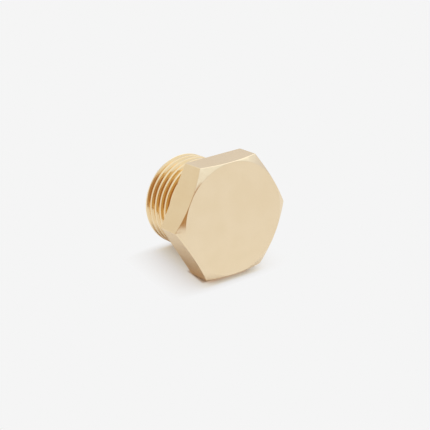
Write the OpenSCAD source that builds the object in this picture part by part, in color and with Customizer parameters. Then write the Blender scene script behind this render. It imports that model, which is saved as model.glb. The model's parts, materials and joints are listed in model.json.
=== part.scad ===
// Blanking bolt: a solid brass plug that closes a threaded port.
// It is turned in one piece from hexagon bar, with a chamfered head and a parallel-threaded shank.
// It lies as it comes to rest on its side. A solid bolt tips off the flat of its head, so the rear
// edge of that flat and the end of the thread are what touch the ground.
// The origin is where the bolt's own axis meets the seat under the head.

/* [Head] */
// Width across the flats of the hexagon
across_flats = 26; // [24:0.5:32]
// Thickness of the head, from the seat to the outer face
head_thickness = 6.7; // [5:0.1:14]
// How far the round edge of the outer face lies inside the flats
face_inset = 0.05; // [0:0.05:0.5]
// Angle between the head's chamfer and the outer face
chamfer_angle = 30; // [15:1:40]

/* [Shank] */
// Outside diameter of the thread, here that of a half-inch parallel pipe thread
thread_diameter = 20.955; // [12:0.001:23]
// Length of the shank, from the seat to its end
shank_length = 13.2; // [8:0.1:30]
// Length along the shank of the chamfer that leads the thread in
lead_in = 0.8; // [0.2:0.1:2]
// Angle between the lead-in chamfer and the bolt's axis
lead_in_angle = 45; // [30:1:60]

/* [Hidden] */
$fn = 96;

hexagon_sides = 6;
brass_colour = "#DFC79A";

corner_radius = across_flats / 2 / cos(180 / hexagon_sides);
face_radius = across_flats / 2 - face_inset;
thread_radius = thread_diameter / 2;
end_radius = thread_radius - lead_in * tan(lead_in_angle);
thread_end = shank_length - lead_in;

// The turning tool runs this far past the bar's corners
overrun = 1;
turned_radius = corner_radius + overrun;
chamfer_depth = (turned_radius - face_radius) * tan(chamfer_angle);

// The axis dips by this angle when the bolt lies on its flat's rear edge and its thread's end
rest_tilt = atan((across_flats / 2 - thread_radius) / thread_end);

// Bar stock with two flats square to Y and two corners on X, as long as the finished bolt
module hexagon_bar() {
    translate([0, 0, -head_thickness])
        cylinder(r = corner_radius, h = head_thickness + shank_length, $fn = hexagon_sides);
}

// What the lathe leaves of the bar: outer face, chamfer, seat, shank and lead-in, in that order
module turned_form() {
    rotate_extrude()
        polygon([
            [0, -head_thickness],
            [face_radius, -head_thickness],
            [turned_radius, chamfer_depth - head_thickness],
            [turned_radius, 0],
            [thread_radius, 0],
            [thread_radius, thread_end],
            [end_radius, shank_length],
            [0, shank_length]
        ]);
}

// The whole bolt, laid on its side with its thread pointing along +Y
module blanking_bolt() {
    color(brass_colour)
        rotate([-90 - rest_tilt, 0, 0])
            intersection() {
                hexagon_bar();
                turned_form();
            }
}

blanking_bolt();
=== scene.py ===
"""The blanking bolt as it looks: bare brass turned from hexagon bar, lying on its side on a pale floor."""

import json
import math

import bpy
from mathutils import Matrix, Vector


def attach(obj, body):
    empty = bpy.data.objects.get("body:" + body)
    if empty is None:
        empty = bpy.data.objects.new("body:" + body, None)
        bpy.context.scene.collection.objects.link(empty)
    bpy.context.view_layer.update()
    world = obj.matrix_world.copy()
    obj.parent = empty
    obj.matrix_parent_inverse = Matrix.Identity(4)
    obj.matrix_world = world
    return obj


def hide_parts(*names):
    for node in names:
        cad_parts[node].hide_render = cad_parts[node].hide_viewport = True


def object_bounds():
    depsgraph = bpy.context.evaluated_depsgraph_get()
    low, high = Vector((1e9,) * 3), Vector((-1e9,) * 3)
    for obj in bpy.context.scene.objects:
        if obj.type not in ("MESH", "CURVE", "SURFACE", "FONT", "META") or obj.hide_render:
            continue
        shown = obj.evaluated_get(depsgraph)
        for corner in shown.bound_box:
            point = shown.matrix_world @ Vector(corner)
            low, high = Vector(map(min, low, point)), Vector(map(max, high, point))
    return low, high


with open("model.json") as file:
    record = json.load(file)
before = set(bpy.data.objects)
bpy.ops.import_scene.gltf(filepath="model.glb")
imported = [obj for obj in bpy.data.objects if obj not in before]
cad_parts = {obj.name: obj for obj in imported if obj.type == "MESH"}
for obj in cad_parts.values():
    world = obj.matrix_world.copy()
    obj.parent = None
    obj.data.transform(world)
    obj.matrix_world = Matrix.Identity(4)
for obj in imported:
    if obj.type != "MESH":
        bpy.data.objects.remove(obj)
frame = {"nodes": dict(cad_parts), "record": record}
cad_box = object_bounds()

MM = 0.001
NODE = "blanking_bolt"
QUARTER_TURN = math.radians(90)
FULL_TURN = math.radians(360)
HEXAGON_SIDES = 6
SIXTH_TURN = FULL_TURN / HEXAGON_SIDES

# Sizes of the bolt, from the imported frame
mounts = {mount["name"]: mount for mount in frame["record"]["mounts"]}
thread_axis = Vector(mounts["thread"]["axis"]).normalized()
flat_normal = Vector(mounts["spanner_flat_upper"]["axis"]).normalized()
corner_axis = thread_axis.cross(flat_normal)
upper_flat = Vector(mounts["spanner_flat_upper"]["pos_m"])
lower_flat = Vector(mounts["spanner_flat_lower"]["pos_m"])

HALF_ACROSS_FLATS = (upper_flat - lower_flat).dot(flat_normal) / 2
HEAD_THICKNESS = -Vector(mounts["outer_face"]["pos_m"]).dot(thread_axis)
THREAD_RADIUS = mounts["thread"]["dims"]["r_mm"] * MM
LEAD_IN_START = mounts["thread"]["dims"]["length_mm"] * MM
SHANK_LENGTH = max(v.co.dot(thread_axis) for v in frame["nodes"][NODE].data.vertices)
REST_TILT = math.atan2(-thread_axis.z, thread_axis.y)
FLOOR_HEIGHT = cad_box[0].z

# Sizes that the frame doesn't give
FACE_INSET = 0.05 * MM
CHAMFER_ANGLE = math.radians(30)
LEAD_IN_ANGLE = math.radians(45)
EDGE_RADIUS = 0.12 * MM
CORNER_RADIUS = 0.2 * MM
SEAT_FILLET = 0.25 * MM
END_BREAK = 0.1 * MM
BREAK_MIDDLE_INWARDS, BREAK_MIDDLE_SHORT = 0.045 * MM, 0.03 * MM
BREAK_INWARDS = 0.14 * MM

# The half-inch parallel pipe thread: right-hand, 55 degrees between flanks, with flat turned crests
INCH = 25.4 * MM
THREADS_PER_INCH = 14
PITCH = INCH / THREADS_PER_INCH
FLANK_ANGLE = math.radians(27.5)
CREST_LAND = 0.5 * MM
CREST_ROUNDING = 0.06 * MM
ROOT_ROUNDING = 0.18 * MM
RUN_OUT_START = 0.7 * MM
RUN_OUT_END = 2.9 * MM

# Where the photograph shows a crest: its height above the seat, at this angle round the axis
CREST_HEIGHT = 5.008 * MM
CREST_ANGLE = math.radians(155)

# How finely the mesh is divided
FLAT_STEPS = 30
CORNER_STEPS = 5
EDGE_STEPS = 4
CREST_STEPS = 3
FLANK_SHARES = (0.03, 0.5, 0.97)
LAND_SHARE = 0.92
FACE_RINGS = (0.3, 0.6, 0.85, 0.97)
END_RING = 0.5
FLATS_WEIGHT = 100
SAME_PLACE = 0.0001 * MM

# Finishes, in the order of the mesh's material slots
TURNED, DRAWN, UNDERSIDE, THREADED, CRESTED = range(5)


def arc(centre, radius, start, end):
    """Points on an arc as (radius, height). Angle 0 faces away from the thread, a quarter turn outwards."""
    angles = [start + (end - start) * i / EDGE_STEPS for i in range(EDGE_STEPS + 1)]
    return [(centre[0] + radius * math.sin(a), centre[1] - radius * math.cos(a)) for a in angles]


def hexagon_outline():
    """Points round the filleted hexagon, as (angle, radius) about the bolt's axis."""
    half_side = SIXTH_TURN / 2
    fillet_distance = (HALF_ACROSS_FLATS - CORNER_RADIUS) / math.cos(half_side)
    points = []
    for corner in range(HEXAGON_SIDES):
        middle = SIXTH_TURN * corner
        centre = Vector((math.cos(middle), math.sin(middle))) * fillet_distance
        for i in range(CORNER_STEPS + 1):
            a = middle - half_side + SIXTH_TURN * i / CORNER_STEPS
            points.append(centre + Vector((math.cos(a), math.sin(a))) * CORNER_RADIUS)
        after = middle + SIXTH_TURN
        next_centre = Vector((math.cos(after), math.sin(after))) * fillet_distance
        flat_start = points[-1]
        flat_end = flat_start + next_centre - centre
        points += [flat_start.lerp(flat_end, i / FLAT_STEPS) for i in range(1, FLAT_STEPS)]
    outline = []
    for index, point in enumerate(points):
        angle = math.atan2(point.y, point.x)
        if index > CORNER_STEPS and angle < 0:
            angle += FULL_TURN
        outline.append((angle, point.length))
    return outline


def head_profile(outer):
    """The head's section at one angle, from the outer face round to the neck, as (radius, height, finish)."""
    face_radius = HALF_ACROSS_FLATS - FACE_INSET
    face_centre = face_radius - EDGE_RADIUS * math.tan(CHAMFER_ANGLE / 2)
    flat_centre = outer - EDGE_RADIUS
    chamfer_rise = (flat_centre - face_radius) * math.sin(CHAMFER_ANGLE) + EDGE_RADIUS
    first = (face_centre, EDGE_RADIUS - HEAD_THICKNESS)
    second = (flat_centre, chamfer_rise / math.cos(CHAMFER_ANGLE) - HEAD_THICKNESS)
    if face_centre > flat_centre:
        first = second = (flat_centre, EDGE_RADIUS - HEAD_THICKNESS)
    rear = (flat_centre, -EDGE_RADIUS)
    inner = THREAD_RADIUS + SEAT_FILLET
    face = [(first[0] * share, -HEAD_THICKNESS) for share in FACE_RINGS]
    chamfer = arc(first, EDGE_RADIUS, 0, CHAMFER_ANGLE)
    side = arc(second, EDGE_RADIUS, CHAMFER_ANGLE, QUARTER_TURN)
    back = arc(rear, EDGE_RADIUS, QUARTER_TURN, 2 * QUARTER_TURN)
    seat = [(inner + SEAT_FILLET, 0)] + arc((inner, SEAT_FILLET), SEAT_FILLET, 0, -QUARTER_TURN)
    sections = ((face, TURNED), (chamfer, TURNED), (side, TURNED), (back, DRAWN), (seat, UNDERSIDE))
    return [(radius, height, finish) for points, finish in sections for radius, height in points]


def thread_samples():
    """One pitch of the thread from crest to crest, as (share of the pitch, depth under the crest)."""
    angles = [(QUARTER_TURN - FLANK_ANGLE) * i / CREST_STEPS for i in range(CREST_STEPS + 1)]
    crest = [(0, 0), (CREST_LAND / 2 * LAND_SHARE, 0)]
    for a in angles:
        crest.append((CREST_LAND / 2 + CREST_ROUNDING * math.sin(a), CREST_ROUNDING * (1 - math.cos(a))))
    root = []
    for a in reversed(angles):
        root.append((PITCH / 2 - ROOT_ROUNDING * math.sin(a), ROOT_ROUNDING * (math.cos(a) - 1)))
    flank_start = Vector(crest[-1])
    fall = (root[0][0] - flank_start.x) / math.tan(FLANK_ANGLE)
    root_depth = flank_start.y + fall - root[0][1]
    root = [(along, root_depth + above) for along, above in root]
    flank = [tuple(flank_start.lerp(Vector(root[0]), share)) for share in FLANK_SHARES]
    half = crest + flank + root
    whole = half + [(PITCH - along, depth) for along, depth in reversed(half[1:-1])]
    return [(along / PITCH, depth) for along, depth in whole]


def ease(value, low, high):
    """0 below low, 1 above high, and an even curve between them."""
    share = min(max((value - low) / (high - low), 0), 1)
    return share * share * (3 - 2 * share)


def thread_depth(samples, share):
    """Depth under the crest at any share of the pitch."""
    share %= 1
    turns = samples + [(1, samples[0][1])]
    for (near, near_depth), (far, far_depth) in zip(turns, turns[1:]):
        if near <= share <= far:
            return near_depth + (far_depth - near_depth) * (share - near) / (far - near)


def thread_surface(depth, height):
    """The thread's radius: it fades out near the seat, and the lead-in chamfer cuts it at the end."""
    cut = THREAD_RADIUS - depth * ease(height, RUN_OUT_START, RUN_OUT_END)
    lead_in = THREAD_RADIUS - (height - LEAD_IN_START) * math.tan(LEAD_IN_ANGLE)
    return min(cut, lead_in)


class Skin:
    """Points and faces of one closed mesh, in the bolt's own frame, with Y along its axis."""

    def __init__(self, angles):
        self.angles = angles
        self.points = []
        self.numbers = {}
        self.faces = []
        self.finishes = []

    def point(self, angle, radius, height):
        """The number of the point at a place, which is a new one only where there is none yet."""
        place = (radius * math.cos(angle), height, radius * math.sin(angle))
        key = tuple(round(value / SAME_PLACE) for value in place)
        if key not in self.numbers:
            self.numbers[key] = len(self.points)
            self.points.append(place)
        return self.numbers[key]

    def ring(self, places):
        """One point at each angle, at its own (radius, height)."""
        return [self.point(angle, *place) for angle, place in zip(self.angles, places)]

    def face(self, corners, finish):
        """A face, unless its corners run together."""
        corners = list(dict.fromkeys(corners))
        if len(corners) > 2:
            self.faces.append(corners)
            self.finishes.append(finish)

    def bridge(self, near, far, finish):
        """A band of faces between two rings."""
        for i in range(len(near)):
            after = (i + 1) % len(near)
            self.face((near[i], far[i], far[after], near[after]), finish)

    def cap(self, ring, height, finish, towards_thread):
        """A fan of faces that closes a ring at the axis."""
        centre = self.point(0, 0, height)
        for i in range(len(ring)):
            pair = (ring[i], ring[(i + 1) % len(ring)])
            self.face((centre, *(reversed(pair) if towards_thread else pair)), finish)


def add_head(skin, outline):
    """The head from the middle of its outer face to the fillet under it. Returns the last ring."""
    profiles = [head_profile(radius) for angle, radius in outline]
    rings = []
    for row in range(len(profiles[0])):
        rings.append(skin.ring([profile[row][:2] for profile in profiles]))
    skin.cap(rings[0], -HEAD_THICKNESS, TURNED, towards_thread=False)
    for row in range(1, len(rings)):
        skin.bridge(rings[row - 1], rings[row], profiles[0][row][2])
    return rings[-1]


def add_thread(skin, start_ring):
    """The thread, whose rows follow the helix. Returns the end ring and its (radius, height) places."""
    samples = thread_samples()
    low, high = RUN_OUT_START, SHANK_LENGTH - END_BREAK
    first_crest = CREST_HEIGHT + PITCH * CREST_ANGLE / FULL_TURN
    first_turn = math.floor((low - first_crest) / PITCH) - 1
    last_turn = math.ceil((high - first_crest) / PITCH) + 2
    neck = skin.ring([(THREAD_RADIUS, low)] * len(skin.angles))
    end_places = []
    for angle in skin.angles:
        share = (high - first_crest) / PITCH + angle / FULL_TURN
        end_places.append((thread_surface(thread_depth(samples, share), high), high))
    end = skin.ring(end_places)
    skin.bridge(start_ring, neck, THREADED)
    columns = []
    for index, angle in enumerate(skin.angles):
        column = []
        for turn in range(first_turn, last_turn):
            for share, depth in samples:
                height = first_crest + PITCH * (turn + share - angle / FULL_TURN)
                if height <= low:
                    column.append(neck[index])
                elif height >= high:
                    column.append(end[index])
                else:
                    column.append(skin.point(angle, thread_surface(depth, height), height))
        columns.append(column)
    # A full turn moves the helix by one pitch, so the last column meets the first one a pitch further on
    seam = [neck[0]] * len(samples) + columns[0][: -len(samples)]
    for here, there in zip(columns, columns[1:] + [seam]):
        for row in range(len(here) - 1):
            on_crest = samples[row % len(samples)][1] == 0 and samples[(row + 1) % len(samples)][1] == 0
            finish = CRESTED if on_crest else THREADED
            skin.face((here[row], here[row + 1], there[row + 1], there[row]), finish)
    return end, end_places


def add_end(skin, ring, places):
    """The broken edge and the flat face at the end of the shank."""
    middle_height = SHANK_LENGTH - BREAK_MIDDLE_SHORT
    middle = skin.ring([(radius - BREAK_MIDDLE_INWARDS, middle_height) for radius, height in places])
    face_edge = skin.ring([(radius - BREAK_INWARDS, SHANK_LENGTH) for radius, height in places])
    inner = skin.ring([(THREAD_RADIUS * END_RING, SHANK_LENGTH)] * len(skin.angles))
    skin.bridge(ring, middle, TURNED)
    skin.bridge(middle, face_edge, TURNED)
    skin.bridge(face_edge, inner, TURNED)
    skin.cap(inner, SHANK_LENGTH, TURNED, towards_thread=True)


def make_bolt(materials):
    """The whole bolt as one closed mesh that stands for the CAD node."""
    outline = hexagon_outline()
    skin = Skin([angle for angle, radius in outline])
    head_end = add_head(skin, outline)
    end, places = add_thread(skin, head_end)
    add_end(skin, end, places)
    mesh = bpy.data.meshes.new("bolt_body")
    mesh.from_pydata(skin.points, [], skin.faces)
    for material in materials:
        mesh.materials.append(material)
    mesh.polygons.foreach_set("material_index", skin.finishes)
    mesh.validate()
    mesh.shade_smooth()
    mesh.transform(Matrix((corner_axis, thread_axis, flat_normal)).transposed().to_4x4())
    piece = bpy.data.objects.new("bolt_body", mesh)
    bpy.context.scene.collection.objects.link(piece)
    weighted = piece.modifiers.new("even_flats", "WEIGHTED_NORMAL")
    weighted.weight = FLATS_WEIGHT
    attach(piece, "root")
    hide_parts(NODE)


class Nodes:
    """A short way to write a node tree."""

    def __init__(self, tree):
        self.tree = tree
        tree.nodes.clear()

    def add(self, kind, inputs=None, **settings):
        node = self.tree.nodes.new(kind)
        for name, value in settings.items():
            setattr(node, name, value)
        for socket, value in (inputs or {}).items():
            self.set(node.inputs[socket], value)
        return node

    def set(self, socket, value):
        if isinstance(value, bpy.types.NodeSocket):
            self.tree.links.new(value, socket)
        else:
            socket.default_value = value

    def vector(self, operation, first, second=None):
        inputs = {0: first} if second is None else {0: first, 1: second}
        return self.add("ShaderNodeVectorMath", inputs, operation=operation)

    def number(self, operation, first, second):
        return self.add("ShaderNodeMath", {0: first, 1: second}, operation=operation).outputs[0]

    def ramp(self, value, near, far, start, end):
        """A number that eases from start to end while value goes from near to far."""
        inputs = {"Value": value, "From Min": near, "From Max": far, "To Min": start, "To Max": end}
        return self.add("ShaderNodeMapRange", inputs, interpolation_type="SMOOTHSTEP").outputs[0]

    def blend(self, share, first, second):
        """A colour between two others."""
        return self.add("ShaderNodeMix", {0: share, 6: first, 7: second}, data_type="RGBA").outputs[2]

    def shade(self, share, first, second, output):
        """The finished surface, as a mix of two shaders."""
        mix = self.add("ShaderNodeMixShader", {0: share, 1: first.outputs[0], 2: second.outputs[0]})
        self.add(output, {"Surface": mix.outputs[0]})


# Finishes: clean brass, brass that air and handling have dulled, roughness, and depth of the tool marks
FACE_BRASS = (0.895, 0.735, 0.508, 1), (0.875, 0.712, 0.48, 1), 0.17, 0.004 * MM
# The flats' brass is deeper than the face's: painted warm shade, for the brown of the lower flats
BAR_PAINTED_SHADE_BRASS = (0.865, 0.678, 0.417, 1), (0.845, 0.648, 0.384, 1), 0.22, 0.003 * MM
# The underside's brass is darker and deeper than the rest: painted shade under the head, which the thread's
# flanks mirror
UNDERSIDE_PAINTED_SHADE_BRASS = (0.81, 0.57, 0.24, 1), (0.78, 0.53, 0.21, 1), 0.48, 0.01 * MM
# The thread's brass is deeper than the face's, as painted shade in the grooves; the crests' brass is paler,
# as a painted highlight
THREAD_PAINTED_SHADE_BRASS = (0.87, 0.665, 0.39, 1), (0.85, 0.63, 0.355, 1), 0.12, 0.002 * MM
CREST_PAINTED_HIGHLIGHT_BRASS = (0.91, 0.72, 0.445, 1), (0.89, 0.695, 0.415, 1), 0.12, 0.001 * MM

# Stains, gloss and tool marks that all the finishes share
STAIN_SCALE, STAIN_DETAIL, STAIN_RANGE = 160.0, 3.0, (0.3, 0.7)
MARK_RANGE, MARK_STRENGTH = (0.2, 0.8), 0.3
GLOSS_SPREAD = 0.03
RING_SCALE = 3000.0
STREAK_SCALE, STREAK_DETAIL, STREAK_STRETCH = 2500.0, 2.0, (1.0, 0.04, 1.0)


def brass(name, pattern, pale, deep, roughness, mark_depth):
    """Bare brass with faint stains and uneven gloss, and the tool marks that pattern draws."""
    material = bpy.data.materials.new(name)
    material.use_nodes = True
    nodes = Nodes(material.node_tree)
    lying = nodes.add("ShaderNodeTexCoord").outputs["Object"]
    turn = {"Vector": lying, "Angle": REST_TILT}
    place = nodes.add("ShaderNodeVectorRotate", turn, rotation_type="X_AXIS").outputs[0]
    stains = {"Vector": place, "Scale": STAIN_SCALE, "Detail": STAIN_DETAIL}
    stain = nodes.add("ShaderNodeTexNoise", stains).outputs["Fac"]
    colour = nodes.blend(nodes.ramp(stain, *STAIN_RANGE, 0.0, 1.0), pale, deep)
    marks = pattern(nodes, place)
    gloss = nodes.ramp(marks, *MARK_RANGE, roughness - GLOSS_SPREAD, roughness + GLOSS_SPREAD)
    bump = nodes.add("ShaderNodeBump", {"Height": marks, "Strength": MARK_STRENGTH, "Distance": mark_depth})
    metal = {"Base Color": colour, "Metallic": 1.0, "Roughness": gloss, "Normal": bump.outputs[0]}
    shader = nodes.add("ShaderNodeBsdfPrincipled", metal)
    nodes.add("ShaderNodeOutputMaterial", {"Surface": shader.outputs[0]})
    return material


def turning_marks(nodes, place):
    """Rings round the bolt's axis, as a lathe tool leaves them."""
    flat = nodes.vector("MULTIPLY", place, (1.0, 0.0, 1.0))
    radius = nodes.vector("LENGTH", flat.outputs[0]).outputs["Value"]
    rings = nodes.add("ShaderNodeTexNoise", {"W": radius, "Scale": RING_SCALE}, noise_dimensions="1D")
    return rings.outputs["Fac"]


def drawing_marks(nodes, place):
    """Fine streaks along the bar, from the die that it was drawn through."""
    stretched = nodes.vector("MULTIPLY", place, STREAK_STRETCH)
    streaks = {"Vector": stretched.outputs[0], "Scale": STREAK_SCALE, "Detail": STREAK_DETAIL}
    return nodes.add("ShaderNodeTexNoise", streaks).outputs["Fac"]


# The floor: as pale as the plain background, and painted warmer near the bolt: painted bounce light that
# stands in for brass light falling on it
BACKGROUND = (0.913, 0.913, 0.913, 1)
FLOOR_COLOUR = (0.91, 0.89, 0.865, 1)
FLOOR_PAINTED_BOUNCE = (0.89, 0.753, 0.614, 1)
FLOOR_LEFT, FLOOR_FRONT, FLOOR_REACH = 0.09, 0.43, 0.35
# Painted fill light: near the bolt, a share of flat glow in a painted fill colour lightens the shadow
PAINTED_SHADOW_LIGHTENING = 0.29
PAINTED_SHADOW_FILL = (0.93, 0.95, 0.84, 1)
# Painted brass glow on the floor along the head's lower edge, standing in for light bounced off the brass
PAINTED_BRASS_GLOW = (1.0, 0.71, 0.5, 1)
PAINTED_WARMTH_END = 0.45

# Shadows that the painted lightening leaves, as the camera sees them, as the brass mirrors them and where the
# bolt touches the floor, and the painted brass glow along the head's lower edge: a box's middle and half
# size, and how far out of it each fades
SHADOW_SEEN = (-0.5 * MM, 0.6 * MM, 0), (4.2 * MM, 9 * MM, 0), (12.8 * MM, 2.6 * MM, 1)
SHADOW_MIRRORED = (-0.5 * MM, 3.1 * MM, 0), (9.1 * MM, 11.5 * MM, 0), (8.6 * MM, 2.6 * MM, 1)
SHADOW_CONTACT = (-2.1 * MM, -4.04 * MM, 0), (5.4 * MM, 2.74 * MM, 0), (0.9 * MM, 0.9 * MM, 1)
PAINTED_BRASS_GLOW_ZONE = (-1 * MM, -4 * MM, 0), (4 * MM, 3.4 * MM, 0), (2.5 * MM, 0.8 * MM, 1)


def way_out(nodes, centre, half, fade):
    """How far out of a box a place on the floor is: 0 within, and 1 where the box's shadow or painted glow
    has faded.
    """
    place = nodes.add("ShaderNodeTexCoord").outputs["Object"]
    aside = nodes.vector("ABSOLUTE", nodes.vector("SUBTRACT", place, centre).outputs[0])
    outside = nodes.vector("SUBTRACT", aside.outputs[0], half)
    outside = nodes.vector("MAXIMUM", outside.outputs[0], (0.0, 0.0, 0.0))
    shares = nodes.vector("DIVIDE", outside.outputs[0], fade)
    return nodes.vector("LENGTH", shares.outputs[0]).outputs["Value"]


def make_floor():
    """A pale floor that takes the bolt's shadow, lightened and warmed near the bolt by painted glow, with a
    painted brass glow at the head's lower edge, and goes over into the plain background further out.
    """
    mesh = bpy.data.meshes.new("floor")
    near, far = -FLOOR_FRONT, FLOOR_REACH
    left, right = -FLOOR_LEFT, FLOOR_REACH
    corners = [(left, near, 0), (right, near, 0), (right, far, 0), (left, far, 0)]
    mesh.from_pydata(corners, [], [(0, 1, 2, 3)])
    floor = bpy.data.objects.new("floor", mesh)
    floor.location.z = FLOOR_HEIGHT
    bpy.context.scene.collection.objects.link(floor)
    material = bpy.data.materials.new("pale_floor")
    material.use_nodes = True
    nodes = Nodes(material.node_tree)
    away = way_out(nodes, *SHADOW_SEEN)
    path = nodes.add("ShaderNodeLightPath")
    # Painted lightening of the shadow as the camera sees it, none where the bolt touches the floor
    clear = nodes.add("ShaderNodeMapRange", {"Value": away, "To Min": PAINTED_SHADOW_LIGHTENING}).outputs[0]
    clear = nodes.number("MINIMUM", clear, way_out(nodes, *SHADOW_CONTACT))
    # Painted lightening of the floor as the brass mirrors it: a painted reflection
    dim = nodes.number("MINIMUM", way_out(nodes, *SHADOW_MIRRORED), 1.0)
    seen = nodes.number("MULTIPLY", path.outputs["Is Camera Ray"], clear)
    mirrored = nodes.number("MULTIPLY", path.outputs["Is Glossy Ray"], dim)
    # Painted warm bounce light near the bolt, in the floor's colour and in its glow
    past_painted_warmth = nodes.ramp(away, 0.0, PAINTED_WARMTH_END, 0.0, 1.0)
    card = nodes.add("ShaderNodeBsdfDiffuse", {"Color": nodes.blend(past_painted_warmth, FLOOR_PAINTED_BOUNCE, FLOOR_COLOUR)})
    tone = nodes.blend(past_painted_warmth, PAINTED_SHADOW_FILL, BACKGROUND)
    # Painted brass glow along the head's lower edge
    clean = nodes.number("MINIMUM", way_out(nodes, *PAINTED_BRASS_GLOW_ZONE), 1.0)
    tone = nodes.blend(clean, PAINTED_BRASS_GLOW, tone)
    plain = nodes.add("ShaderNodeEmission", {"Color": tone, "Strength": 1.0})
    nodes.shade(nodes.number("MAXIMUM", seen, mirrored), card, plain, "ShaderNodeOutputMaterial")
    mesh.materials.append(material)


# The surroundings: white paper, cooler on the right, brighter overhead, and a dim warm room in front
PAPER_LEFT = (0.88, 0.895, 0.912, 1)
PAPER_RIGHT = (0.79, 0.8, 0.865, 1)
SIDE_SPREAD = 0.6
OVERHEAD = (0.98, 1.05, 1.12, 1)
OVERHEAD_RISE = (0.17, 0.51)
KEY_STRENGTH = 0.7
KEY_AZIMUTH = math.radians(110)
KEY_HEIGHT = math.radians(55)
KEY_INNER, KEY_OUTER = math.radians(10), math.radians(45)
ROOM_COLOUR = (0.49, 0.3, 0.145, 1)
ROOM_AZIMUTH = math.radians(-62)
ROOM_HEIGHT = math.radians(22)
ROOM_INNER, ROOM_OUTER = math.radians(61), math.radians(76)
CEILING_AZIMUTH = math.radians(-32)
CEILING_HEIGHT = math.radians(76)
CEILING_INNER, CEILING_OUTER = math.radians(40.5), math.radians(46.5)


def direction(azimuth, elevation):
    """Unit vector from the bolt. Azimuth 0 is in front of its head and grows towards +X."""
    level = math.cos(elevation)
    return Vector((math.sin(azimuth) * level, -math.cos(azimuth) * level, math.sin(elevation)))


def cone(nodes, way, azimuth, elevation, inner, outer):
    """1 close to a direction, 0 far from it, and an even curve between the two angles."""
    near = nodes.vector("DOT_PRODUCT", way, direction(azimuth, elevation)).outputs["Value"]
    return nodes.ramp(near, math.cos(outer), math.cos(inner), 0.0, 1.0)


def make_world():
    """Soft white light from all round, stronger from the upper right."""
    world = bpy.data.worlds.new("studio")
    bpy.context.scene.world = world
    world.use_nodes = True
    nodes = Nodes(world.node_tree)
    way = nodes.add("ShaderNodeTexCoord").outputs["Generated"]
    parts = nodes.add("ShaderNodeSeparateXYZ", {0: way})
    across, height = parts.outputs[0], parts.outputs[2]
    sides = nodes.blend(nodes.ramp(across, -SIDE_SPREAD, SIDE_SPREAD, 0.0, 1.0), PAPER_LEFT, PAPER_RIGHT)
    paper = nodes.blend(nodes.ramp(height, *OVERHEAD_RISE, 0.0, 1.0), sides, OVERHEAD)
    key = cone(nodes, way, KEY_AZIMUTH, KEY_HEIGHT, KEY_INNER, KEY_OUTER)
    gain = nodes.number("ADD", nodes.number("MULTIPLY", key, KEY_STRENGTH), 1.0)
    lit = nodes.vector("SCALE", paper)
    nodes.set(lit.inputs["Scale"], gain)
    room = cone(nodes, way, ROOM_AZIMUTH, ROOM_HEIGHT, ROOM_INNER, ROOM_OUTER)
    ceiling = cone(nodes, way, CEILING_AZIMUTH, CEILING_HEIGHT, CEILING_INNER, CEILING_OUTER)
    dim = nodes.number("MULTIPLY", room, nodes.number("SUBTRACT", 1.0, ceiling))
    colour = nodes.blend(dim, lit.outputs[0], ROOM_COLOUR)
    sky = nodes.add("ShaderNodeBackground", {"Color": colour, "Strength": 1.0})
    plain = nodes.add("ShaderNodeBackground", {"Color": BACKGROUND, "Strength": 1.0})
    seen = nodes.add("ShaderNodeLightPath").outputs["Is Camera Ray"]
    nodes.shade(seen, sky, plain, "ShaderNodeOutputWorld")


# The camera, as fitted to the photograph's outline, corners and face circle
CAMERA_AZIMUTH = math.radians(-38.81)
CAMERA_ELEVATION = math.radians(28.88)
CAMERA_ROLL = math.radians(4.54)
CAMERA_DISTANCE = 310.8 * MM
CAMERA_LENS = 116.6
SENSOR_WIDTH = 36.0
NEAR_CLIP = 10 * MM
AIM_RIGHT = -0.20 * MM
AIM_UP = -0.87 * MM


def make_camera():
    """A long lens that looks down on the bolt's head and along its left side."""
    back = direction(CAMERA_AZIMUTH, CAMERA_ELEVATION)
    level = Vector((0, 0, 1)).cross(back).normalized()
    right = level * math.cos(CAMERA_ROLL) + back.cross(level) * math.sin(CAMERA_ROLL)
    up = back.cross(right)
    place = back * CAMERA_DISTANCE
    back = (place - right * AIM_RIGHT - up * AIM_UP).normalized()
    right = up.cross(back).normalized()
    data = bpy.data.cameras.new("camera")
    data.sensor_width = SENSOR_WIDTH
    data.lens = CAMERA_LENS
    data.clip_start = NEAR_CLIP
    camera = bpy.data.objects.new("camera", data)
    bpy.context.scene.collection.objects.link(camera)
    turn = Matrix((right, back.cross(right), back)).transposed().to_4x4()
    camera.matrix_world = Matrix.Translation(place) @ turn
    bpy.context.scene.camera = camera


# Light between the thread's flanks is mirrored many times before it leaves
MAX_BOUNCES, GLOSSY_BOUNCES = 16, 14

scene = bpy.context.scene
scene.view_settings.view_transform = "Standard"
scene.cycles.max_bounces = MAX_BOUNCES
scene.cycles.glossy_bounces = GLOSSY_BOUNCES

make_bolt([
    brass("turned_brass", turning_marks, *FACE_BRASS),
    brass("drawn_brass", drawing_marks, *BAR_PAINTED_SHADE_BRASS),
    brass("underside_painted_shade_brass", turning_marks, *UNDERSIDE_PAINTED_SHADE_BRASS),
    brass("thread_painted_shade_brass", turning_marks, *THREAD_PAINTED_SHADE_BRASS),
    brass("crest_painted_highlight_brass", drawing_marks, *CREST_PAINTED_HIGHLIGHT_BRASS),
])
make_floor()
make_world()
make_camera()
